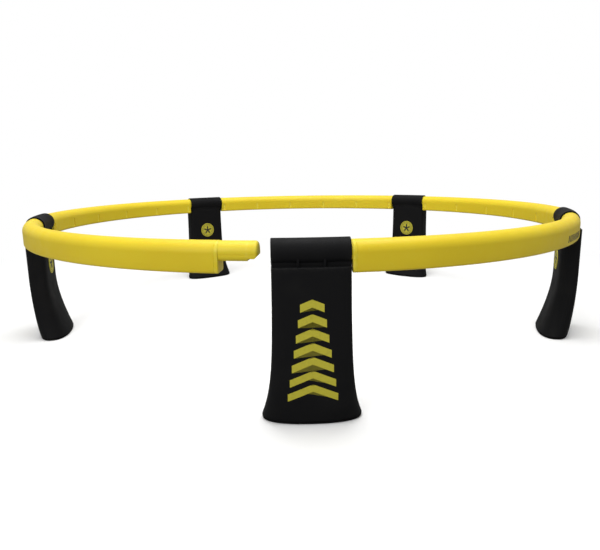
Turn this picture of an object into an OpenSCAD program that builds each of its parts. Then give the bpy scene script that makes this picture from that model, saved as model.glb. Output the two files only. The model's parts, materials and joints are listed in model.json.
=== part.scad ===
// Roundnet frame: five rim segments plug into five moulded legs and make a round standing frame.
// It stands with its last joint pulled open at the front leg, as it is while being put together.
// Each part is drawn for the closed ring, whose axis is Z, and is then swung open joint by joint.

/* [Ring] */
// Outer diameter of the closed rim
ring_d = 914; // [880:2:960]
// Height of the top of the leg collars above the ground
ring_h = 203; // [190:1:230]
// Angle that the play in each plugged joint lets it open, in degrees
joint_open = 1.385; // [0:0.005:1.5]

/* [Rim] */
// Width of the rim section
rim_w = 26; // [24:0.5:30]
// Height of the rim section
rim_h = 36; // [30:1:44]
// Wall of the hollow rim
rim_wall = 2.6; // [1.5:0.1:4]
// Radius of the rim section's two lower edges
rim_edge_r = 3; // [1:0.5:5]
// How far the rim's top lies below the collars' top
rim_drop = 2; // [0:0.5:4]
// Number of net notches along the inside of each rim
notch_count = 6; // [2:1:8]
// Width of a net notch
notch_w = 5; // [3:0.5:8]
// Height of a net notch
notch_h = 15; // [8:0.5:20]
// Depth of a net notch into the rim wall
notch_deep = 1.2; // [0.6:0.1:1.4]

/* [Spigot] */
// Diameter of the spigot's round part
spigot_d = 21.6; // [18:0.2:22.4]
// Length of the spigot beyond the rim's shoulder
spigot_len = 40; // [30:0.5:44]
// Height of the spigot's axis above the collar's own axis
spigot_rise = 0.5; // [0:0.1:1]
// Length of the chamfer at the spigot's tip
tip_chamfer = 3.5; // [2:0.5:6]
// Width of the keel under the spigot
keel_w = 12; // [8:0.5:13]
// How far the keel stands below the spigot's round part
keel_drop = 1; // [0.5:0.1:1.5]
// How far the keel stops short of the spigot's tip
keel_short = 10; // [6:0.5:16]
// Wall of the cored spigot
spigot_wall = 2.8; // [2:0.1:4]
// Thickness of the flange that closes the rim's end
flange_t = 3; // [2:0.5:5]
// Length of the plug's tenon inside the rim
tenon_len = 24; // [12:1:40]
// Clearance of the tenon inside the rim
tenon_gap = 0.15; // [0.1:0.05:0.3]

/* [Leg collar] */
// Outer diameter of the collar
collar_d = 29; // [28.4:0.2:32]
// Length of the collar along the ring
collar_len = 84; // [82:0.5:96]
// Wall left between the two sockets in a collar
socket_stop = 2; // [1.5:0.1:4]
// Clearance all round a spigot in its socket
fit_gap = 0.7; // [0.65:0.05:0.8]
// Gap between a rim's shoulder and the collar
shoulder_gap = 0.6; // [0.5:0.1:1.2]
// Outer side of the neck under the collar, out from the ring's centre line
neck_out = 10; // [9:0.5:11]
// Thickness of the two ribs under the collar
rib_t = 2.4; // [1.5:0.1:4]
// How far the ribs stop short of the leg's outer face
rib_back = 3.5; // [2:0.5:6]

/* [Leg body] */
// Width of the leg's body near its top
leg_w = 81.6; // [76:0.4:81.6]
// Height of the recess between the body's front panel and the collar's axis
panel_drop = 14.5; // [14.5:0.5:18]
// Outer face of the body, out from the ring's centre line
face_out = 16.5; // [15:0.5:20]
// Inner face of the body, in from the ring's centre line
face_in = 8; // [7.5:0.5:10]
// Wall of the hollow leg
leg_wall = 3; // [2:0.1:4]
// Extra half width of the foot
foot_flare = 17; // [8:0.5:22]
// Height over which the flare fades
flare_h = 38; // [25:1:50]
// How far the foot bulges outwards past the outer face
foot_bulge = 5.5; // [0:0.5:8]
// How far the foot reaches inwards past the inner face
foot_reach = 20; // [5:0.5:26]
// Height below which the inner face slopes towards the ring's middle
reach_h = 100; // [80:1:103]

/* [Foot pad and badge] */
// Thickness of the rubber foot pad
pad_t = 4; // [3:0.5:6]
// Radius of the pad's lower edge
pad_round = 2.6; // [1:0.1:3]
// Step of the pad's side in from the leg's side
pad_step = 0.4; // [0.2:0.1:1]
// Height of the rib that holds the pad inside the leg
pad_rib_h = 7; // [4:0.5:12]
// Thickness of that rib
pad_rib_t = 3; // [2:0.5:5]
// Diameter of the badge disc
badge_d = 34; // [24:1:35]
// Height of the badge's middle above the ground
badge_z = 121; // [121:1:145]
// Depth of the seat that the badge sits in
badge_seat = 0.9; // [0.5:0.1:1.4]
// How far the badge stands proud of the leg
badge_proud = 0.7; // [0.3:0.1:1.5]
// Width of the badge's raised border
badge_border = 2; // [1:0.5:4]
// Depth of the badge's middle below its border
badge_dish = 0.4; // [0.2:0.1:0.6]

/* [Hidden] */
$fn = 64;

rim_yellow = [0.93, 0.84, 0.28];
plug_yellow = [0.95, 0.88, 0.32];
badge_yellow = [0.76, 0.73, 0.2];
leg_black = [0.12, 0.12, 0.13];
pad_black = [0.06, 0.06, 0.07];

// Ring centre line, and the angles along it that the lengths take up
ring_r = (ring_d - rim_w) / 2;
leg_step = 72;
function arc(len) = len / ring_r * 180 / PI;
collar_half = arc(collar_len / 2);
shoulder_half = collar_half + arc(shoulder_gap);
socket_deep = (collar_len - socket_stop) / 2;
// A plugged joint swings about the middle of its spigot
pivot_half = shoulder_half - arc(spigot_len / 2);

// Heights
collar_z = ring_h - collar_d / 2;
spigot_z = collar_z + spigot_rise;
rim_top = ring_h - rim_drop;
rim_low = rim_top - rim_h;
panel_top = collar_z - panel_drop;
spigot_r = spigot_d / 2;
keel_low = spigot_z - spigot_r - keel_drop;
bore_r = spigot_r + fit_gap;

// Legs stand at these angles, and rims lie midway between them
front = -90;
right = front + leg_step;
right_rear = right + leg_step;
left_rear = right_rear + leg_step;
left = left_rear + leg_step;

// Swing of the plugged joints: side is 1 on the right and -1 on the left, steps counts from the rear
right_pivots = [right_rear - pivot_half, right - pivot_half, front + pivot_half];
function pivot_angle(side, n) = side > 0 ? right_pivots[n - 1] : 180 - right_pivots[n - 1];
function on_ring(angle) = ring_r * [cos(angle), sin(angle), 0];
function turned(p, angle) = [
    p.x * cos(angle) - p.y * sin(angle), p.x * sin(angle) + p.y * cos(angle), p.z
];
function swung(p, side, steps) = steps == 0
    ? p
    : let(c = on_ring(pivot_angle(side, steps)))
        swung(c + turned(p - c, side * joint_open), side, steps - 1);

// The origin is midway between the front foot and the rear rim
front_y = swung([0, -(ring_r + face_out + foot_bulge), 0], 1, 3).y;
rear_y = ring_d / 2;
ring_shift = [0, -(front_y + rear_y) / 2, 0];

module swing(side, steps) {
    if (steps == 0) children();
    else {
        c = on_ring(pivot_angle(side, steps));
        swing(side, steps - 1)
            translate(c) rotate(side * joint_open) translate(-c) children();
    }
}

module in_place(side, steps) {
    translate(ring_shift) swing(side, steps) children();
}

// ---- Rim segment ----

// Rim section: round top, straight sides, small radii at the bottom
module rim_section(inset) {
    r = rim_w / 2 - inset;
    e = max(rim_edge_r - inset, 0.4);
    low = rim_low + inset;
    round_z = rim_top - rim_w / 2;
    translate([ring_r, round_z]) circle(r);
    translate([ring_r - r, low + e]) square([2 * r, round_z - low - e]);
    translate([ring_r - r + e, low]) square([2 * (r - e), e + 1]);
    for (s = [-1, 1]) translate([ring_r + s * (r - e), low + e]) circle(e);
}

module rim_notches(from, span) {
    edge = arc(notch_w);
    pitch = (span - 2 * edge) / (notch_count - 1);
    for (i = [0 : notch_count - 1])
        rotate(from + edge + i * pitch)
            translate([ring_r - rim_w / 2 - 1, -notch_w / 2, rim_low + rim_edge_r])
                cube([1 + notch_deep, notch_w, notch_h]);
}

// Hollow rim between the plug flanges, centred on an angle
module rim_tube(middle) {
    span = leg_step - 2 * (shoulder_half + arc(flange_t));
    color(rim_yellow)
    difference() {
        rotate(middle - span / 2) rotate_extrude(angle = span, $fn = 180)
            difference() {
                rim_section(0);
                rim_section(rim_wall);
            }
        rim_notches(middle - span / 2, span);
    }
}

// ---- Spigot plug ----

// Spigot section: a round with a keel below it, grown by a clearance
module keel_section(grow) {
    w = keel_w / 2 + grow;
    low = keel_low - grow;
    e = 1.5;
    translate([ring_r - w, low + e]) square([2 * w, spigot_z - low - e]);
    translate([ring_r - w + e, low]) square([2 * (w - e), e + 1]);
    for (s = [-1, 1]) translate([ring_r + s * (w - e), low + e]) circle(e);
}

// Sweep of a section along the ring, from one distance past angle 0 to another, to one side.
// It is drawn from its far end back, so that both sides come out alike.
module sweep(side, from, to) {
    rotate(side * arc(to))
        rotate_extrude(angle = -side * arc(to - from), $fn = 180) children();
}

// Flange, tenon and spigot, drawn from a shoulder at angle 0 with the spigot to the given side
module plug(side) {
    tip = spigot_len - tip_chamfer;
    color(plug_yellow)
    difference() {
        union() {
            sweep(side, -flange_t, 0) rim_section(0);
            sweep(side, -flange_t - tenon_len, -flange_t / 2) rim_section(rim_wall + tenon_gap);
            sweep(side, -flange_t / 2, tip) translate([ring_r, spigot_z]) circle(spigot_r);
            rotate(side * arc(tip)) translate([ring_r, 0, spigot_z]) rotate([-90 * side, 0, 0])
                cylinder(r1 = spigot_r, r2 = spigot_r - tip_chamfer * 0.85, h = tip_chamfer);
            sweep(side, -flange_t / 2, spigot_len - keel_short) keel_section(0);
        }
        sweep(side, -flange_t - tenon_len - 5, tip - spigot_wall)
            translate([ring_r, spigot_z]) circle(spigot_r - spigot_wall);
    }
}

// side is 1 for a spigot that points to growing angles and -1 for the other way
module plug_at(leg_angle, side) {
    rotate(leg_angle - side * shoulder_half) plug(side);
}

// ---- Leg ----

// Leg outline at a height, as a superellipse that goes from round at the foot to boxy at the top
ring_points = 32;
function half_w(z) = leg_w / 2 + foot_flare * exp(-z / flare_h);
function x_out(z) = face_out + foot_bulge * exp(-z / 25);
function x_in(z) = -face_in - foot_reach * pow(max(1 - z / reach_h, 0), 1.6);
function boxiness(z) = 2.6 + 3.6 * min(z / reach_h, 1);
function bow(v, n) = sign(v) * pow(abs(v), 2 / n);
function outline(z, inset, at) =
    let(
        mid = (x_out(z) + x_in(z)) / 2,
        deep = (x_out(z) - x_in(z)) / 2 - inset,
        wide = half_w(z) - inset,
        n = boxiness(z)
    )
    [for (i = [0 : ring_points - 1])
        let(t = (i + 0.5) * 360 / ring_points)
        [ring_r + mid + deep * bow(cos(t), n), wide * bow(sin(t), n), at]];

// Side faces between rings k and k + 1, and a cap on one ring
function band(k) = [
    for (i = [0 : ring_points - 1], half = [0, 1])
        let(
            j = (i + 1) % ring_points,
            a = k * ring_points,
            b = a + ring_points
        )
        half == 0 ? [a + i, b + j, a + j] : [a + i, b + i, b + j]
];
function cap(k, up) = [[for (i = [0 : ring_points - 1])
    k * ring_points + (up ? ring_points - 1 - i : i)]];
function joined(lists) = [for (l = lists, v = l) v];

// Closed solid through a list of outlines, from the lowest to the highest
module loft(outlines) {
    n = len(outlines);
    polyhedron(
        points = joined(outlines),
        faces = concat(joined([for (k = [0 : n - 2]) band(k)]), cap(0, false), cap(n - 1, true)),
        convexity = 6
    );
}

// Heights of the outlines up the leg, closer together in the flare
outline_count = 11;
function leg_heights(top) = [for (i = [0 : outline_count])
    pad_t + (top - pad_t) * pow(i / outline_count, 1.6)];
cavity_top = panel_top - 2 * leg_wall;

// Leg drawn at angle 0, standing out along +X
module leg() {
    color(leg_black)
    difference() {
        union() {
            difference() {
                loft([for (z = leg_heights(panel_top)) outline(z, 0, z)]);
                loft([for (z = leg_heights(cavity_top))
                    outline(z, leg_wall, z == pad_t ? z - 1 : z)]);
            }
            translate([ring_r - face_in, -leg_w / 2, panel_top - 1])
                cube([face_in + neck_out, leg_w, collar_z - panel_top + 1]);
            for (s = [-1, 1])
                translate([ring_r, s * leg_w / 6 - rib_t / 2, panel_top - 1])
                    cube([face_out - rib_back, rib_t, collar_z - panel_top]);
            rotate(-collar_half) rotate_extrude(angle = 2 * collar_half, $fn = 180)
                translate([ring_r, collar_z]) circle(collar_d / 2);
        }
        for (s = [-1, 1]) socket(s);
        translate([ring_r - face_in + badge_seat, 0, badge_z]) rotate([0, -90, 0])
            cylinder(r = badge_d / 2 + 0.15, h = badge_seat + 1);
    }
}

// Socket for a spigot, with its keyway
module socket(side) {
    span = arc(socket_deep + 1);
    start = side > 0 ? collar_half - arc(socket_deep) : -collar_half - arc(1);
    rotate(start) rotate_extrude(angle = span, $fn = 180) {
        translate([ring_r, spigot_z]) circle(bore_r);
        keel_section(fit_gap);
    }
}

// Rubber pad under a leg, with a rib that holds it inside the leg
module pad() {
    rib_gap = 0.25;
    color(pad_black) {
        loft([
            outline(pad_t, pad_step + pad_round, 0),
            outline(pad_t, pad_step + 0.3 * pad_round, 0.3 * pad_round),
            outline(pad_t, pad_step, pad_round),
            outline(pad_t, pad_step, pad_t),
        ]);
        difference() {
            loft([for (z = [pad_t, pad_t + pad_rib_h])
                outline(z, leg_wall + rib_gap, z)]);
            loft([for (z = [pad_t, pad_t + pad_rib_h])
                outline(z, leg_wall + rib_gap + pad_rib_t, z == pad_t ? z - 1 : z + 1)]);
        }
    }
}

// Plain round badge in its seat on the leg's inner face
module badge() {
    color(badge_yellow)
    translate([ring_r - face_in + badge_seat, 0, badge_z]) rotate([0, -90, 0])
        difference() {
            cylinder(d = badge_d, h = badge_seat + badge_proud);
            translate([0, 0, badge_seat + badge_proud - badge_dish])
                cylinder(r = badge_d / 2 - badge_border, h = 1);
        }
}

// ---- Rims ----
in_place(1, 0) rim_tube(right_rear + leg_step / 2);  // rim_rear
in_place(-1, 1) rim_tube(left_rear + leg_step / 2);  // rim_left_rear
in_place(-1, 2) rim_tube(left + leg_step / 2);  // rim_left_front
in_place(1, 1) rim_tube(right + leg_step / 2);  // rim_right_rear
in_place(1, 2) rim_tube(front + leg_step / 2);  // rim_right_front

// ---- Plugs, named by their rim and by the end of it that they are at ----
in_place(1, 0) plug_at(left_rear, 1);  // plug_rear_left
in_place(1, 0) plug_at(right_rear, -1);  // plug_rear_right
in_place(-1, 1) plug_at(left_rear, -1);  // plug_left_rear_rear
in_place(-1, 1) plug_at(left, 1);  // plug_left_rear_front
in_place(-1, 2) plug_at(left, -1);  // plug_left_front_rear
in_place(-1, 2) plug_at(front + 360, 1);  // plug_left_front_free
in_place(1, 1) plug_at(right_rear, 1);  // plug_right_rear_rear
in_place(1, 1) plug_at(right, -1);  // plug_right_rear_front
in_place(1, 2) plug_at(right, 1);  // plug_right_front_rear
in_place(1, 2) plug_at(front, -1);  // plug_right_front_front

// ---- Legs ----
in_place(1, 3) rotate(front) leg();  // leg_front
in_place(1, 1) rotate(right) leg();  // leg_right
in_place(1, 0) rotate(right_rear) leg();  // leg_right_rear
in_place(1, 0) rotate(left_rear) leg();  // leg_left_rear
in_place(-1, 1) rotate(left) leg();  // leg_left

// ---- Foot pads ----
in_place(1, 3) rotate(front) pad();  // pad_front
in_place(1, 1) rotate(right) pad();  // pad_right
in_place(1, 0) rotate(right_rear) pad();  // pad_right_rear
in_place(1, 0) rotate(left_rear) pad();  // pad_left_rear
in_place(-1, 1) rotate(left) pad();  // pad_left

// ---- Badges ----
in_place(1, 3) rotate(front) badge();  // badge_front
in_place(1, 1) rotate(right) badge();  // badge_right
in_place(1, 0) rotate(right_rear) badge();  // badge_right_rear
in_place(1, 0) rotate(left_rear) badge();  // badge_left_rear
in_place(-1, 1) rotate(left) badge();  // badge_left
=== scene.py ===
"""Looks of the roundnet frame: moulded yellow rims and black legs, on a plain white floor.

Every piece is drawn for the closed ring, in millimetres, and is then put where the frame has its body.
"""

import json
import math

import bpy
from mathutils import Matrix, Vector

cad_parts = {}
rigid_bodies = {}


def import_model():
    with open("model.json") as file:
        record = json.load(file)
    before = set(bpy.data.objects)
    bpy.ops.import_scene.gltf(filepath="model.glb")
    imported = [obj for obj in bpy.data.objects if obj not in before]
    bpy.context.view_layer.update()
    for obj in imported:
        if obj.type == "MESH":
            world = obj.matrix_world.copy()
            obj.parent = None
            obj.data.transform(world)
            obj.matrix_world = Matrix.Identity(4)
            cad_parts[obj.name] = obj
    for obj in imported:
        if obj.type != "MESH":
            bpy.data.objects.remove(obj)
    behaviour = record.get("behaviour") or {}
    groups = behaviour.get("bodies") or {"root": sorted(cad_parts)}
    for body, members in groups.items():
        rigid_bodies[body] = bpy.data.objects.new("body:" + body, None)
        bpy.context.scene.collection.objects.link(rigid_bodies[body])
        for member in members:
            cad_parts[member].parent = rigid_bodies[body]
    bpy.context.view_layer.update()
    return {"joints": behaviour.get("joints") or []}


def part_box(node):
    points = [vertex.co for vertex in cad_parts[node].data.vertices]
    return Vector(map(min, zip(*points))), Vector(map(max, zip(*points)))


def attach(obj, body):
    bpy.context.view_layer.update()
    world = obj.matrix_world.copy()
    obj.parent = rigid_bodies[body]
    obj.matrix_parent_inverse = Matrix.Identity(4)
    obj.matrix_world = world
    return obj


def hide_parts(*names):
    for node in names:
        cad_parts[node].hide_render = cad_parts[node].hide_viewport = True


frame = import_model()

MM = 0.001

# ---- Sizes in millimetres ----

# These are close to the frame's solids. They differ where the dressed pieces have a later form:
# the leg's profile (thicker, with its outer face drawn in towards the foot), the spigot's section
# (round top, straight sides, flat bottom) and the rim's height.
RING_D = 914.0
RIM_W = 26.0
RIM_H = 34.0
RIM_TOP = 200.6
RIM_EDGE_R = 3.0
COLLAR_D = 29.0
COLLAR_LEN = 83.4
COLLAR_TOP = 203.0
SHOULDER_GAP = 1.4
SOCKET_STOP = 1.6
FIT_GAP = 0.7
SPIGOT_D = 23.6
SPIGOT_LEN = 42.0
SPIGOT_LOW = 8.9
SPIGOT_EDGE_R = 5.0
STEP_LEN = 10.5
STEP_RISE = 2.6
TIP_CHAMFER = 3.5
FLANGE_T = 3.0
NOTCH_COUNT = 6
NOTCH_W = 5.0
NOTCH_H = 15.0
NOTCH_DEEP = 1.2
NECK_OUT = 10.0
RIB_T = 2.4
RIB_BACK = 5.5
LEG_W = 83.0
PANEL_TOP = 174.0
FACE_OUT = 18.5
FACE_IN = 11.5
FOOT_FLARE = 16.2
FLARE_H = 38.0
TOE_IN = 6.0
FOOT_REACH = 25.0
REACH_H = 100.0
PAD_T = 4.0
PAD_ROUND = 2.6
PAD_STEP = 0.4
BADGE_D = 34.0
BADGE_Z = 121.0
BADGE_SEAT = 0.9
BADGE_PROUD = 0.7
BADGE_BORDER = 2.0
BADGE_DISH = 0.4

RING_R = (RING_D - RIM_W) / 2
RIM_LOW = RIM_TOP - RIM_H
COLLAR_Z = COLLAR_TOP - COLLAR_D / 2
SPIGOT_R = SPIGOT_D / 2
LEG_STEP = 72

LEGS = {"front": -90, "right": -18, "right_rear": 54, "left_rear": 126, "left": 198}
# Each rim's middle angle, and its two plugs: the one at its smaller angle first
RIMS = {
    "rim_right_front": (-54, "plug_right_front_front", "plug_right_front_rear"),
    "rim_right_rear": (18, "plug_right_rear_front", "plug_right_rear_rear"),
    "rim_rear": (90, "plug_rear_right", "plug_rear_left"),
    "rim_left_rear": (162, "plug_left_rear_rear", "plug_left_rear_front"),
    "rim_left_front": (234, "plug_left_front_rear", "plug_left_front_free"),
}


def arc(length):
    """Degrees that a length takes up along the ring's centre line."""
    return math.degrees(length / RING_R)


# A rim's shoulder is square to the leg, and its middle is at this angle from the leg's
SHOULDER_Y = COLLAR_LEN / 2 + SHOULDER_GAP
SHOULDER_HALF = math.degrees(math.asin(SHOULDER_Y / RING_R))

# ---- Where each body lies at rest ----

# The rear rim doesn't swing, so its outer edge gives the ring's centre
ring_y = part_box("rim_rear")[1].y - RING_D / 2 * MM


def hinges_to(body):
    """The closing hinges between the root and a body, from the root outwards."""
    by_child = {joint["child"]: joint for joint in frame["joints"]}
    chain = []
    while body in by_child:
        if by_child[body]["type"] == "hinge":
            chain.append(by_child[body])
        body = by_child[body]["parent"]
    return chain[::-1]


def place_of(body):
    """From the closed ring in millimetres to the body as it rests, with its joints open."""
    place = Matrix.Translation((0, ring_y, 0)) @ Matrix.Scale(MM, 4)
    for joint in hinges_to(body):
        pivot = Vector(joint["pos_m"])
        turn = -math.radians(joint["range_deg"][1]) * joint["axis"][2]
        swing = Matrix.Translation(pivot) @ Matrix.Rotation(turn, 4, "Z")
        place = swing @ Matrix.Translation(-pivot) @ place
    return place


# ---- Mesh helpers ----


class Shell:
    """Points in millimetres, how worn each is, and faces, gathered before they become a mesh."""

    def __init__(self):
        self.points, self.wear, self.faces, self.slots = [], [], [], []

    def loft(self, loops, slot=0, wear=None, slots=None):
        """A closed skin through loops that have as many points each, capped at both ends."""
        start, n = len(self.points), len(loops[0])
        for k, loop in enumerate(loops):
            self.points += [tuple(p) for p in loop]
            self.wear += [wear[k] if wear else 0.0] * n
        for k in range(len(loops) - 1):
            a, b = start + k * n, start + (k + 1) * n
            for i in range(n):
                j = (i + 1) % n
                self.faces.append((a + i, a + j, b + j, b + i))
                self.slots.append(slots[k] if slots else slot)
        last = start + (len(loops) - 1) * n
        self.faces.append(tuple(range(start + n - 1, start - 1, -1)))
        self.faces.append(tuple(range(last, last + n)))
        self.slots += [slots[0] if slots else slot, slots[-1] if slots else slot]

    def piece(self, name, place, materials, smooth_deg=32):
        """The mesh object, put in place by a matrix."""
        mesh = bpy.data.meshes.new(name)
        mesh.from_pydata([place @ Vector(p) for p in self.points], [], self.faces)
        for material in materials:
            mesh.materials.append(material)
        mesh.polygons.foreach_set("material_index", self.slots)
        worn = mesh.attributes.new("wear", "FLOAT", "POINT")
        worn.data.foreach_set("value", self.wear)
        mesh.validate()
        fix_normals(mesh)
        mesh.shade_smooth()
        mesh.set_sharp_from_angle(angle=math.radians(smooth_deg))
        thing = bpy.data.objects.new(name, mesh)
        bpy.context.scene.collection.objects.link(thing)
        return thing


def fix_normals(mesh):
    """Turn every face outwards."""
    import bmesh

    work = bmesh.new()
    work.from_mesh(mesh)
    bmesh.ops.recalc_face_normals(work, faces=work.faces)
    work.to_mesh(mesh)
    work.free()


def corner_steps(radius, count=4):
    """(distance along, inset) pairs that round an edge, from its end face on."""
    steps = []
    for k in range(count + 1):
        a = math.radians(90 * k / count)
        steps.append((radius * (1 - math.cos(a)), radius * (1 - math.sin(a))))
    return steps


def on_arc(section, angle):
    """A section of (out, up) points, standing across the ring at an angle in degrees."""
    c, s = math.cos(math.radians(angle)), math.sin(math.radians(angle))
    return [((RING_R + u) * c, (RING_R + u) * s, z) for u, z in section]


def square_to_leg(section, leg, y):
    """A section of (out, up) points on a plane at a distance y from a leg's middle, across the ring."""
    points = []
    for u, z in section:
        a = math.radians(leg) + math.asin(y / (RING_R + u))
        points.append(((RING_R + u) * math.cos(a), (RING_R + u) * math.sin(a), z))
    return points


def dress(thing, body, slot, *nodes):
    """Say what the piece moves with and which solids it stands for. The slot, what it is made of, is
    not used.
    """
    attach(thing, body)
    if nodes:
        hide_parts(*nodes)
    return thing


# ---- Materials ----


def new_material(name):
    material = bpy.data.materials.new(name)
    material.use_nodes = True
    tree = material.node_tree
    return material, tree, tree.nodes["Principled BSDF"]


def noise(tree, scale, detail=3.0, rough=0.55, stretch=None):
    """Noise over the piece's own coordinates, in noise cells a metre."""
    where = tree.nodes.new("ShaderNodeTexCoord").outputs["Object"]
    if stretch:
        mapping = tree.nodes.new("ShaderNodeMapping")
        mapping.inputs["Scale"].default_value = stretch
        tree.links.new(where, mapping.inputs["Vector"])
        where = mapping.outputs["Vector"]
    node = tree.nodes.new("ShaderNodeTexNoise")
    node.inputs["Scale"].default_value = scale
    node.inputs["Detail"].default_value = detail
    node.inputs["Roughness"].default_value = rough
    tree.links.new(where, node.inputs["Vector"])
    return node.outputs["Fac"]


def spread(tree, value, low, high, to_low, to_high):
    """value, with low to high drawn out to to_low to to_high."""
    node = tree.nodes.new("ShaderNodeMapRange")
    for name, number in (
        ("From Min", low), ("From Max", high), ("To Min", to_low), ("To Max", to_high)
    ):
        node.inputs[name].default_value = number
    tree.links.new(value, node.inputs["Value"])
    return node.outputs["Result"]


def multiply(tree, a, b):
    node = tree.nodes.new("ShaderNodeMath")
    node.operation = "MULTIPLY"
    tree.links.new(a, node.inputs[0])
    if isinstance(b, float):
        node.inputs[1].default_value = b
    else:
        tree.links.new(b, node.inputs[1])
    return node.outputs["Value"]


def mixed(tree, share, one, other):
    """A colour between two, each a colour or a socket."""
    node = tree.nodes.new("ShaderNodeMix")
    node.data_type = "RGBA"
    tree.links.new(share, node.inputs["Factor"])
    for socket, colour in ((node.inputs["A"], one), (node.inputs["B"], other)):
        if isinstance(colour, tuple):
            socket.default_value = (*colour, 1.0)
        else:
            tree.links.new(colour, socket)
    return node.outputs["Result"]


def bumps(tree, shader, layers):
    """Stack bump layers of (height socket, distance in metres, strength) under a shader."""
    normal = None
    for height, distance, strength in layers:
        node = tree.nodes.new("ShaderNodeBump")
        node.inputs["Distance"].default_value = distance
        node.inputs["Strength"].default_value = strength
        tree.links.new(height, node.inputs["Height"])
        if normal:
            tree.links.new(normal, node.inputs["Normal"])
        normal = node.outputs["Normal"]
    tree.links.new(normal, shader.inputs["Normal"])


def worn_share(tree):
    """How worn a point is: its edge weight, broken up by noise."""
    node = tree.nodes.new("ShaderNodeAttribute")
    node.attribute_name = "wear"
    return multiply(tree, node.outputs["Fac"], spread(tree, noise(tree, 160), 0.45, 0.62, 0, 1))


def moulded_yellow(name, body, shade, pale):
    """Satin moulded plastic: faint flow marks, fine scuffs and paler rubbed edges."""
    material, tree, shader = new_material(name)
    flow = spread(tree, noise(tree, 9, 2), 0.35, 0.65, 0, 1)
    scuffs = noise(tree, 420, 2, 0.7, (1, 1, 0.35))
    scuffed = spread(tree, scuffs, 0.62, 0.8, 0, 0.22)
    colour = mixed(tree, flow, body, shade)
    colour = mixed(tree, scuffed, colour, pale)
    colour = mixed(tree, multiply(tree, worn_share(tree), 0.55), colour, pale)
    tree.links.new(colour, shader.inputs["Base Color"])
    tree.links.new(spread(tree, noise(tree, 60, 4), 0.3, 0.7, 0.38, 0.54), shader.inputs["Roughness"])
    shader.inputs["Specular IOR Level"].default_value = 0.3
    shader.inputs["Subsurface Weight"].default_value = 0.15
    shader.inputs["Subsurface Radius"].default_value = (1.0, 0.55, 0.08)
    shader.inputs["Subsurface Scale"].default_value = 0.004
    bumps(tree, shader, [(noise(tree, 14, 1), 0.0006, 0.35), (noise(tree, 1500, 2), 0.00003, 0.5)])
    return material


def moulded_black(name, body, grey, rough, gloss):
    """Grained black plastic: an even fine grain, dusty greyer patches and rubbed edges."""
    material, tree, shader = new_material(name)
    dust = spread(tree, noise(tree, 22, 4), 0.48, 0.75, 0, 0.35)
    colour = mixed(tree, dust, body, grey)
    colour = mixed(tree, multiply(tree, worn_share(tree), 0.6), colour, grey)
    tree.links.new(colour, shader.inputs["Base Color"])
    shader.inputs["Specular IOR Level"].default_value = gloss
    patches = spread(tree, noise(tree, 35, 3), 0.3, 0.7, rough - 0.07, rough + 0.07)
    tree.links.new(patches, shader.inputs["Roughness"])
    grain = noise(tree, 1100, 3, 0.6)
    bumps(tree, shader, [(noise(tree, 18, 1), 0.0004, 0.3), (grain, 0.00008, 0.55)])
    return material


def printed(name, ink, worn_to, rough):
    """A thin print whose ink is a little uneven and rubbed."""
    material, tree, shader = new_material(name)
    patches = spread(tree, noise(tree, 240, 4), 0.5, 0.72, 0, 0.45)
    tree.links.new(mixed(tree, patches, ink, worn_to), shader.inputs["Base Color"])
    tree.links.new(
        spread(tree, noise(tree, 90, 3), 0.3, 0.7, rough - 0.06, rough + 0.06),
        shader.inputs["Roughness"],
    )
    bumps(tree, shader, [(noise(tree, 1300, 2), 0.00004, 0.5)])
    return material


RIM_YELLOW = moulded_yellow(
    "rim_yellow_plastic", (0.775, 0.595, 0.020), (0.745, 0.56, 0.016), (0.82, 0.70, 0.12)
)
PLUG_YELLOW = moulded_yellow(
    "plug_yellow_plastic", (0.79, 0.625, 0.024), (0.76, 0.59, 0.020), (0.83, 0.72, 0.13)
)
# Paler yellow for the notches' floors: painted light, as if the notches were lit from inside
NOTCH_PAINTED_LIGHT_YELLOW = moulded_yellow(
    "notch_painted_light_yellow", (0.84, 0.70, 0.06), (0.82, 0.67, 0.05), (0.88, 0.78, 0.18)
)
LEG_BLACK = moulded_black(
    "leg_black_plastic", (0.0075, 0.0075, 0.008), (0.014, 0.0137, 0.0132), 0.58, 0.07
)
PAD_BLACK = moulded_black("pad_black_rubber", (0.003, 0.003, 0.003), (0.008, 0.008, 0.0078), 0.75, 0.1)
PRINT_OLIVE = printed("olive_yellow_ink", (0.56, 0.50, 0.032), (0.40, 0.36, 0.03), 0.5)
PRINT_DARK = printed("dark_ink", (0.012, 0.012, 0.012), (0.03, 0.028, 0.02), 0.55)

# ---- Rims ----

ROUND_STEPS = 28
FILLET_STEPS = 5
NOTCH_LIP = 0.25
SEAM = 0.35
STEPS_BETWEEN_NOTCHES = 10


def rim_section(inset=0.0, notch=0.0):
    """The rim's outline: round top, inner side with a notch in it, filleted bottom, outer side."""
    r = RIM_W / 2 - inset
    edge = max(RIM_EDGE_R - inset, 0.4)
    round_z, low = RIM_TOP - RIM_W / 2, RIM_LOW + inset
    section = []
    for k in range(ROUND_STEPS + 1):
        a = math.pi * k / ROUND_STEPS
        section.append((r * math.cos(a), round_z + r * math.sin(a)))
    top, bottom = RIM_LOW + RIM_EDGE_R + NOTCH_H, RIM_LOW + RIM_EDGE_R + 2 * NOTCH_LIP
    section.append((-r, top + NOTCH_LIP))
    section.append((-r + notch, top - NOTCH_LIP))
    section.append((-r + notch, bottom + NOTCH_LIP))
    section.append((-r, bottom - NOTCH_LIP))
    for start, side in ((180, -1), (270, 1)):
        for k in range(FILLET_STEPS + 1):
            a = math.radians(start + 90 * k / FILLET_STEPS)
            out = side * (r - edge) + edge * math.cos(a)
            section.append((out, low + edge + edge * math.sin(a)))
    section.append((r, (round_z + low) / 2))
    return section


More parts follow.
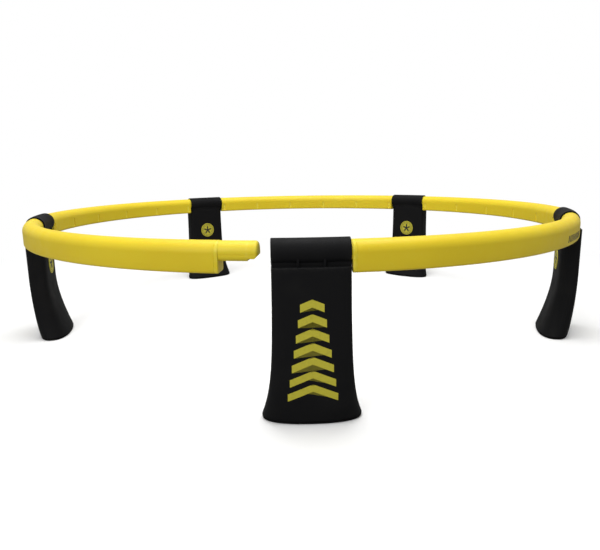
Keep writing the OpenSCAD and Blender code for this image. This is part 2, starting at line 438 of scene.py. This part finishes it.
def rim_stations(first, last):
    """(angle, notch depth) along a rim, with close pairs at the notches' sides."""
    edge = arc(NOTCH_W)
    pitch = (last - first - 2 * edge) / (NOTCH_COUNT - 1)
    half, lip = arc(NOTCH_W / 2), arc(NOTCH_LIP)
    stations = []
    for k in range(NOTCH_COUNT):
        middle = first + edge + k * pitch
        stations += [
            (middle - half - lip, 0.0), (middle - half + lip, NOTCH_DEEP),
            (middle + half - lip, NOTCH_DEEP), (middle + half + lip, 0.0),
        ]
        if k < NOTCH_COUNT - 1:
            between = pitch - 2 * half - 2 * lip
            for step in range(1, STEPS_BETWEEN_NOTCHES):
                share = step / STEPS_BETWEEN_NOTCHES
                stations.append((middle + half + lip + between * share, 0.0))
    return stations


def make_rim(name, middle):
    first = middle - LEG_STEP / 2 + SHOULDER_HALF + arc(FLANGE_T)
    last = 2 * middle - first
    loops = [on_arc(rim_section(SEAM), first), on_arc(rim_section(), first + arc(SEAM))]
    loops += [on_arc(rim_section(0, deep), angle) for angle, deep in rim_stations(first, last)]
    loops += [on_arc(rim_section(), last - arc(SEAM)), on_arc(rim_section(SEAM), last)]
    wear = [1.0, 0.2] + [0.0] * (len(loops) - 4) + [0.2, 1.0]
    shell = Shell()
    shell.loft(loops, wear=wear)
    floor_of_notches(shell, len(loops[0]), rim_stations(first, last))
    return shell.piece(name + "_shell", place_of(name), [RIM_YELLOW, NOTCH_PAINTED_LIGHT_YELLOW])


def floor_of_notches(shell, n, stations):
    """Give the notches' floors the paler yellow: painted light, as if the notches were lit from inside.
    """
    in_section = ROUND_STEPS + 2
    for k in range(len(stations) - 1):
        if stations[k][1] and stations[k + 1][1]:
            shell.slots[(k + 2) * n + in_section] = 1


# ---- Plugs ----

SPIGOT_STEPS = 40
SPIGOT_STATIONS = 12
TIP_STEPS = 8
TIP_TURN = 84
SHOULDER_ROUND = 0.8
# The moulding line: where it is below the spigot's middle, and how deep it is cut
LINE_LOW, LINE_HIGH, LINE_DEEP = -2.0, -1.4, 0.35


def spigot_section(inset=0.0, line=LINE_DEEP, bottom=-SPIGOT_LOW):
    """Round top, straight sides with a fine moulding line in each, and a flat bottom."""
    r, flat, edge = SPIGOT_R - inset, SPIGOT_R - SPIGOT_EDGE_R, SPIGOT_EDGE_R - inset
    section = []
    for k in range(SPIGOT_STEPS + 1):
        a = math.pi * k / SPIGOT_STEPS
        section.append((r * math.cos(a), r * math.sin(a)))
    side = [(r, LINE_HIGH), (r - line, LINE_HIGH - 0.1), (r - line, LINE_LOW + 0.1), (r, LINE_LOW)]
    section += [(-u, z) for u, z in side]
    for start, sign in ((180, -1), (270, 1)):
        for k in range(FILLET_STEPS + 3):
            a = math.radians(start + 90 * k / (FILLET_STEPS + 2))
            z = SPIGOT_EDGE_R - SPIGOT_LOW + edge * math.sin(a)
            section.append((sign * flat + edge * math.cos(a), z))
    section += side[::-1]
    return [(u, COLLAR_Z + max(z, bottom)) for u, z in section]


def make_plug(name, body, leg, side):
    """leg is the angle of the leg that the plug goes into, and side the way that the spigot points."""

    def at(length):
        return leg - side * (SHOULDER_HALF - arc(length))

    shell = Shell()
    # The flange, from its seam with the rim to its rounded shoulder
    loops = [on_arc(rim_section(SEAM), at(-FLANGE_T)), on_arc(rim_section(), at(-FLANGE_T + SEAM))]
    wear = [1.0, 0.2]
    for along, inset in reversed(corner_steps(SHOULDER_ROUND)):
        loops.append(square_to_leg(rim_section(inset), leg, -side * (SHOULDER_Y + along)))
        wear.append(0.7)
    shell.loft(loops, wear=wear)
    # The spigot, with the step in its bottom and its rounded tip
    step, low = SPIGOT_LEN - STEP_LEN, STEP_RISE - SPIGOT_LOW
    lengths = [-1.0] + [step * k / SPIGOT_STATIONS for k in range(SPIGOT_STATIONS)]
    loops = [on_arc(spigot_section(), at(length)) for length in lengths]
    wear = [0.0] * len(loops)
    for s, bottom in ((-0.5, -SPIGOT_LOW), (-0.1, 0.3 - SPIGOT_LOW), (0.0, low - 0.4), (0.2, low)):
        loops.append(on_arc(spigot_section(bottom=bottom), at(step + s)))
        wear.append(0.5)
    tip = SPIGOT_LEN - TIP_CHAMFER
    for length in (step + 2.0, tip - 0.8):
        loops.append(on_arc(spigot_section(bottom=low), at(length)))
    wear += [0.0, 0.0]
    for k in range(TIP_STEPS + 1):
        a = math.radians(TIP_TURN * k / TIP_STEPS)
        along, inset = TIP_CHAMFER * math.sin(a), TIP_CHAMFER * (1 - math.cos(a))
        line = LINE_DEEP if k < 2 else 0.0
        loops.append(on_arc(spigot_section(inset, line, low + along * 0.95), at(tip + along)))
        wear.append(0.6)
    shell.loft(loops, wear=wear)
    return shell.piece(name + "_moulding", place_of(body), [PLUG_YELLOW])


# ---- Legs ----

OUTLINE_POINTS = 128
LEG_RINGS = 46
COLLAR_POINTS = 120
FOOT_BOX, BODY_BOX = 2.2, 6.2


def half_w(z):
    return LEG_W / 2 + FOOT_FLARE * math.exp(-z / FLARE_H)


def x_out(z):
    return FACE_OUT - TOE_IN * max(1 - z / REACH_H, 0) ** 2


def x_in(z):
    return -FACE_IN - FOOT_REACH * max(1 - z / REACH_H, 0) ** 1.8


def boxiness(z):
    return FOOT_BOX + (BODY_BOX - FOOT_BOX) * min(z / REACH_H, 1)


def bow(value, n):
    return math.copysign(abs(value) ** (2 / n), value)


def outline(z, inset=0.0, at=None):
    """The leg's outline at a height, from round at the foot to boxy at the top."""
    middle, deep = (x_out(z) + x_in(z)) / 2, (x_out(z) - x_in(z)) / 2 - inset
    wide, n = half_w(z) - inset, boxiness(z)
    points = []
    for k in range(OUTLINE_POINTS):
        t = 2 * math.pi * (k + 0.5) / OUTLINE_POINTS
        x = RING_R + middle + deep * bow(math.cos(t), n)
        points.append((x, wide * bow(math.sin(t), n), z if at is None else at))
    return points


def face_x(y, z):
    """How far out the leg's outer face stands, at a width and a height."""
    middle, deep = (x_out(z) + x_in(z)) / 2, (x_out(z) - x_in(z)) / 2
    n = boxiness(z)
    return RING_R + middle + deep * (1 - min(abs(y) / half_w(z), 1) ** n) ** (1 / n)


def collar_loop(radius, along):
    """Ring round the collar, on a plane at a distance from the leg's middle."""
    section = []
    for k in range(COLLAR_POINTS):
        a = 2 * math.pi * k / COLLAR_POINTS
        section.append((radius * math.cos(a), COLLAR_Z + radius * math.sin(a)))
    return square_to_leg(section, 0, along)


def bore_reach(a, grow):
    """How far a socket's wall is from its axis, in a direction below the level."""
    flat, high, edge = SPIGOT_R - SPIGOT_EDGE_R, SPIGOT_LOW - SPIGOT_EDGE_R, SPIGOT_EDGE_R + grow
    c, s = abs(math.cos(a)), abs(math.sin(a))
    reach = min((SPIGOT_R + grow) / max(c, 1e-6), (SPIGOT_LOW + grow) / max(s, 1e-6))
    if reach * c > flat and reach * s > high:
        along = c * flat + s * high
        reach = along + math.sqrt(edge**2 - (flat**2 + high**2 - along**2))
    return reach


def bore_loop(grow, along):
    """Ring round a socket's wall, on a plane at a distance from the leg's middle."""
    section = []
    for k in range(COLLAR_POINTS):
        a = 2 * math.pi * k / COLLAR_POINTS
        reach = SPIGOT_R + FIT_GAP + grow
        if math.sin(a) < 0:
            reach = bore_reach(a, FIT_GAP + grow)
        section.append((reach * math.cos(a), COLLAR_Z + reach * math.sin(a)))
    return square_to_leg(section, 0, along)


def add_collar(shell):
    """The collar, round outside, with a blind socket in each end."""
    end, outer = COLLAR_LEN / 2, COLLAR_D / 2
    loops, wear = [], []
    for side in (-1, 1):
        part = [(bore_loop(0, side * SOCKET_STOP / 2), 0.0)]
        part += [(bore_loop(0, side * end * k / 5), 0.0) for k in range(1, 5)]
        part += [(bore_loop(0, side * (end - 0.5)), 0.3), (bore_loop(0.4, side * end), 0.8)]
        for along, inset in corner_steps(0.9):
            part.append((collar_loop(outer - inset, side * (end - along)), 0.9))
        part += [(collar_loop(outer, side * end * k / 6), 0.0) for k in (5, 4, 3, 2, 1)]
        if side > 0:
            part.reverse()
        loops += [loop for loop, _ in part]
        wear += [worn for _, worn in part]
    shell.loft(loops, wear=wear)


def under_collar(first, last, low):
    """Section of what stands under the collar, its top following the tube's wall."""
    wall_r, section = COLLAR_D / 2 - 0.5, []
    for k in range(9):
        x = first + (last - first) * k / 8
        section.append((x, COLLAR_Z - math.sqrt(wall_r**2 - x**2)))
    return [(first, low)] + section + [(last, low)]


def add_web(shell, first, last, y, thick):
    """A web under the collar, from first to last outwards, at a place along the leg's width."""
    section = under_collar(first, last, PANEL_TOP - 1)
    shell.loft([
        [(RING_R + x, y + side * thick / 2, z) for x, z in section] for side in (-1, 1)
    ])


def make_leg(name, angle):
    shell = Shell()
    loops, wear = [outline(PAD_T, 0.5), outline(PAD_T + 0.4)], [0.9, 0.5]
    for k in range(1, LEG_RINGS):
        z = PAD_T + (PANEL_TOP - 1 - PAD_T) * (k / LEG_RINGS) ** 1.35
        loops.append(outline(z))
        wear.append(0.0)
    for along, inset in reversed(corner_steps(1.0)):
        loops.append(outline(PANEL_TOP, inset, PANEL_TOP - along))
        wear.append(0.9)
    shell.loft(loops, wear=wear)
    add_web(shell, -FACE_IN, NECK_OUT, 0, LEG_W - 0.2)
    for side in (-1, 1):
        add_web(shell, NECK_OUT - 1, FACE_OUT - RIB_BACK, side * LEG_W / 6, RIB_T)
    add_collar(shell)
    place = place_of(name) @ Matrix.Rotation(math.radians(angle), 4, "Z")
    return shell.piece(name + "_moulding", place, [LEG_BLACK], 28)


def make_pad(name, body, angle):
    loops, wear = [], []
    for along, inset in corner_steps(PAD_ROUND, 6):
        loops.append(outline(PAD_T, PAD_STEP + inset, along))
        wear.append(0.5)
    loops += [outline(PAD_T, PAD_STEP, PAD_T - 0.3), outline(PAD_T, PAD_STEP + 0.3, PAD_T)]
    wear += [0.2, 0.6]
    shell = Shell()
    shell.loft(loops, wear=wear)
    place = place_of(body) @ Matrix.Rotation(math.radians(angle), 4, "Z")
    return shell.piece(name + "_rubber", place, [PAD_BLACK])


# ---- Badges and prints: plain generic marks ----

BADGE_POINTS = 96
BADGE_BARS = 5
BAR_FIRST, BAR_LAST, BAR_HALF, BAR_POINT = 2.6, 10.4, 2.1, 2.4


def badge_ring(radius, height):
    """Ring on the badge, at a height off its seat's floor, which faces the ring's middle."""
    x = RING_R - FACE_IN + BADGE_SEAT - height
    points = []
    for k in range(BADGE_POINTS):
        a = 2 * math.pi * k / BADGE_POINTS
        points.append((x, radius * math.cos(a), BADGE_Z + radius * math.sin(a)))
    return points


def make_badge(name, body, angle):
    top = BADGE_SEAT + BADGE_PROUD
    floor, r = top - BADGE_DISH, BADGE_D / 2
    inner = r - BADGE_BORDER
    # radius, height, and 1 where the band beyond is dark
    steps = [
        (r, 0.0, 0), (r, top - 0.3, 0), (r - 0.1, top - 0.1, 0), (r - 0.35, top, 0),
        (inner + 0.2, top, 0), (inner, floor + 0.1, 1), (inner - 0.25, floor, 1),
        (inner - 0.9, floor, 0), (inner - 3.2, floor, 1), (inner - 3.9, floor, 0),
        (3.0, floor, 1), (0.4, floor, 1),
    ]
    shell = Shell()
    shell.loft([badge_ring(radius, height) for radius, height, _ in steps],
               slots=[dark for _, _, dark in steps[:-1]])
    for k in range(BADGE_BARS):
        add_badge_bar(shell, math.radians(90 + 360 * k / BADGE_BARS), floor)
    place = place_of(body) @ Matrix.Rotation(math.radians(angle), 4, "Z")
    return shell.piece(name + "_disc", place, [PRINT_OLIVE, PRINT_DARK])


def add_badge_bar(shell, a, floor):
    """A short dark bar that points away from the badge's middle."""
    root, shoulder = BAR_HALF * 0.7, BAR_LAST - BAR_POINT
    along, across = (math.cos(a), math.sin(a)), (-math.sin(a), math.cos(a))
    loops = []
    for height in (floor - 0.1, floor + 0.12):
        x = RING_R - FACE_IN + BADGE_SEAT - height
        corners = [
            (BAR_FIRST, -root), (shoulder, -BAR_HALF), (BAR_LAST, 0),
            (shoulder, BAR_HALF), (BAR_FIRST, root),
        ]
        loops.append([
            (x, s * along[0] + w * across[0], BADGE_Z + s * along[1] + w * across[1])
            for s, w in corners
        ])
    shell.loft(loops, slot=1)


# Chevrons of the print on a leg's outer face: half width and height of the foot of each
PRINT_CHEVRONS = [(27.0 - 2.4 * k, 40.0 + 15.5 * k) for k in range(7)]
CHEVRON_TALL = 8.5
CHEVRON_SLOPE = 0.42
PRINT_T = 0.12


def add_chevron(shell, half, bottom):
    """A chevron laid over the leg's outer face, as a thin skin that follows it."""
    across, up, loops = 20, 5, []
    for row in range(up + 1):
        line = []
        for k in range(across + 1):
            y = half * (2 * k / across - 1)
            line.append((y, bottom + CHEVRON_TALL * row / up - abs(y) * CHEVRON_SLOPE))
        loop = [(face_x(y, z) + PRINT_T, y, z) for y, z in line]
        loops.append(loop + [(face_x(y, z) - 0.3, y, z) for y, z in reversed(line)])
    shell.loft(loops)


def make_leg_print(name, body, angle):
    shell = Shell()
    for half, bottom in PRINT_CHEVRONS:
        add_chevron(shell, half, bottom)
    place = place_of(body) @ Matrix.Rotation(math.radians(angle), 4, "Z")
    return shell.piece(name, place, [PRINT_OLIVE])


TICK_COUNT = 11
TICK_PITCH = 7.0
TICK_W = 3.4
TICK_FROM_END = 70.0
TICK_LOW, TICK_HIGH, TICK_LEAN = 172.0, 181.0, 2.2


def make_rim_print(name, body, middle):
    """A row of slanted ticks on a rim's outer side, near its end of growing angle."""
    shell = Shell()
    end = middle + LEG_STEP / 2 - SHOULDER_HALF
    for k in range(TICK_COUNT):
        at = end - arc(TICK_FROM_END + k * TICK_PITCH)
        lean, loops = arc(TICK_LEAN), []
        for out in (RIM_W / 2 - 0.3, RIM_W / 2 + PRINT_T):
            corners = [
                (0, TICK_LOW), (arc(TICK_W), TICK_LOW),
                (arc(TICK_W) + lean, TICK_HIGH), (lean, TICK_HIGH),
            ]
            loops.append([on_arc([(out, z)], at + turn)[0] for turn, z in corners])
        shell.loft(loops)
    return shell.piece(name, place_of(body), [PRINT_DARK])


# ---- The object ----

for rim, (middle, low_plug, high_plug) in RIMS.items():
    dress(make_rim(rim, middle), rim, "rim", rim)
    for plug, side in ((low_plug, -1), (high_plug, 1)):
        dress(make_plug(plug, rim, middle + side * LEG_STEP / 2, side), rim, "plug", plug)
dress(make_rim_print("rim_right_front_ticks", "rim_right_front", -54), "rim_right_front", "leg")

for where, angle in LEGS.items():
    leg = "leg_" + where
    dress(make_leg(leg, angle), leg, "leg", leg)
    dress(make_pad("pad_" + where, leg, angle), leg, "pad", "pad_" + where)
    dress(make_badge("badge_" + where, leg, angle), leg, "badge", "badge_" + where)
    dress(make_leg_print("print_" + where, leg, angle), leg, "badge")

# ---- Floor, light and camera ----

# How pale the floor is to the camera, and as light that it throws back
SEEN_FLOOR, BOUNCED_FLOOR = 0.96, 0.32
# Where the floor turns into plain white, in metres from the middle
FADE_FROM, FADE_TO = 0.72, 1.15
FLOOR_SIZE = 60
WORLD_LIGHT, WORLD_SEEN = 0.45, 1.0
# Name, place and size in metres, and watts
LAMPS = (
    ("overhead", (0.0, -0.1, 1.9), 1.7, 36.0),
    ("front_left", (-1.2, -2.6, 1.7), 1.6, 30.0),
)
LAMPS_AIM = (0, 0, 0.1)


def make_floor():
    """White floor, with the object's shadow near it and plain white farther off."""
    bpy.ops.mesh.primitive_plane_add(size=FLOOR_SIZE, location=(0, 0, 0))
    floor = bpy.context.object
    floor.name = "floor"
    material, tree, shader = new_material("white_floor")
    shader.inputs["Roughness"].default_value = 0.9
    shader.inputs["Specular IOR Level"].default_value = 0.1
    seen = tree.nodes.new("ShaderNodeLightPath").outputs["Is Camera Ray"]
    tree.links.new(
        mixed(tree, seen, (BOUNCED_FLOOR,) * 3, (SEEN_FLOOR,) * 3), shader.inputs["Base Color"]
    )
    where = tree.nodes.new("ShaderNodeTexCoord").outputs["Object"]
    off = tree.nodes.new("ShaderNodeVectorMath")
    off.operation = "LENGTH"
    tree.links.new(where, off.inputs[0])
    far = spread(tree, off.outputs["Value"], FADE_FROM, FADE_TO, 0, 1)
    plain = tree.nodes.new("ShaderNodeEmission")
    mix = tree.nodes.new("ShaderNodeMixShader")
    tree.links.new(multiply(tree, far, seen), mix.inputs["Fac"])
    tree.links.new(shader.outputs["BSDF"], mix.inputs[1])
    tree.links.new(plain.outputs["Emission"], mix.inputs[2])
    tree.links.new(mix.outputs["Shader"], tree.nodes["Material Output"].inputs["Surface"])
    floor.data.materials.append(material)


def make_light():
    world = bpy.data.worlds.new("plain_white")
    bpy.context.scene.world = world
    world.use_nodes = True
    tree = world.node_tree
    tree.nodes.clear()
    out = tree.nodes.new("ShaderNodeOutputWorld")
    lit, seen = tree.nodes.new("ShaderNodeBackground"), tree.nodes.new("ShaderNodeBackground")
    for node, strength in ((lit, WORLD_LIGHT), (seen, WORLD_SEEN)):
        node.inputs["Color"].default_value = (1.0, 1.0, 1.0, 1.0)
        node.inputs["Strength"].default_value = strength
    path, mix = tree.nodes.new("ShaderNodeLightPath"), tree.nodes.new("ShaderNodeMixShader")
    tree.links.new(path.outputs["Is Camera Ray"], mix.inputs["Fac"])
    tree.links.new(lit.outputs["Background"], mix.inputs[1])
    tree.links.new(seen.outputs["Background"], mix.inputs[2])
    tree.links.new(mix.outputs["Shader"], out.inputs["Surface"])
    for name, place, size, watts in LAMPS:
        light = bpy.data.lights.new(name, "AREA")
        light.size, light.energy = size, watts
        lamp = bpy.data.objects.new(name, light)
        bpy.context.scene.collection.objects.link(lamp)
        lamp.location = place
        aim = Vector(LAMPS_AIM) - Vector(place)
        lamp.rotation_euler = aim.to_track_quat("-Z", "Y").to_euler()


# Camera: focal length in pixels of a frame FRAME_W wide, place in metres from the ring's centre
# on the ground, and turns in radians
CAM_F = 533.34
CAM_AT = (0.03722, -1.00914, 0.27337)
CAM_YAW, CAM_PITCH, CAM_ROLL = -0.04057, 0.19775, -0.01527
FRAME_W = 600
SENSOR_W = 36.0


def make_camera():
    ahead = Vector((
        math.sin(CAM_YAW) * math.cos(CAM_PITCH),
        math.cos(CAM_YAW) * math.cos(CAM_PITCH),
        -math.sin(CAM_PITCH),
    ))
    level = Vector((math.cos(CAM_YAW), -math.sin(CAM_YAW), 0))
    upright = level.cross(ahead)
    right = level * math.cos(CAM_ROLL) + upright * math.sin(CAM_ROLL)
    up = upright * math.cos(CAM_ROLL) - level * math.sin(CAM_ROLL)
    turn = Matrix((right, up, -ahead)).transposed().to_4x4()
    data = bpy.data.cameras.new("camera")
    data.sensor_width = SENSOR_W
    data.lens = CAM_F / FRAME_W * SENSOR_W
    camera = bpy.data.objects.new("camera", data)
    bpy.context.scene.collection.objects.link(camera)
    camera.matrix_world = Matrix.Translation(Vector(CAM_AT) + Vector((0, ring_y, 0))) @ turn
    bpy.context.scene.camera = camera


make_floor()
make_light()
make_camera()
bpy.context.scene.view_settings.view_transform = "Standard"
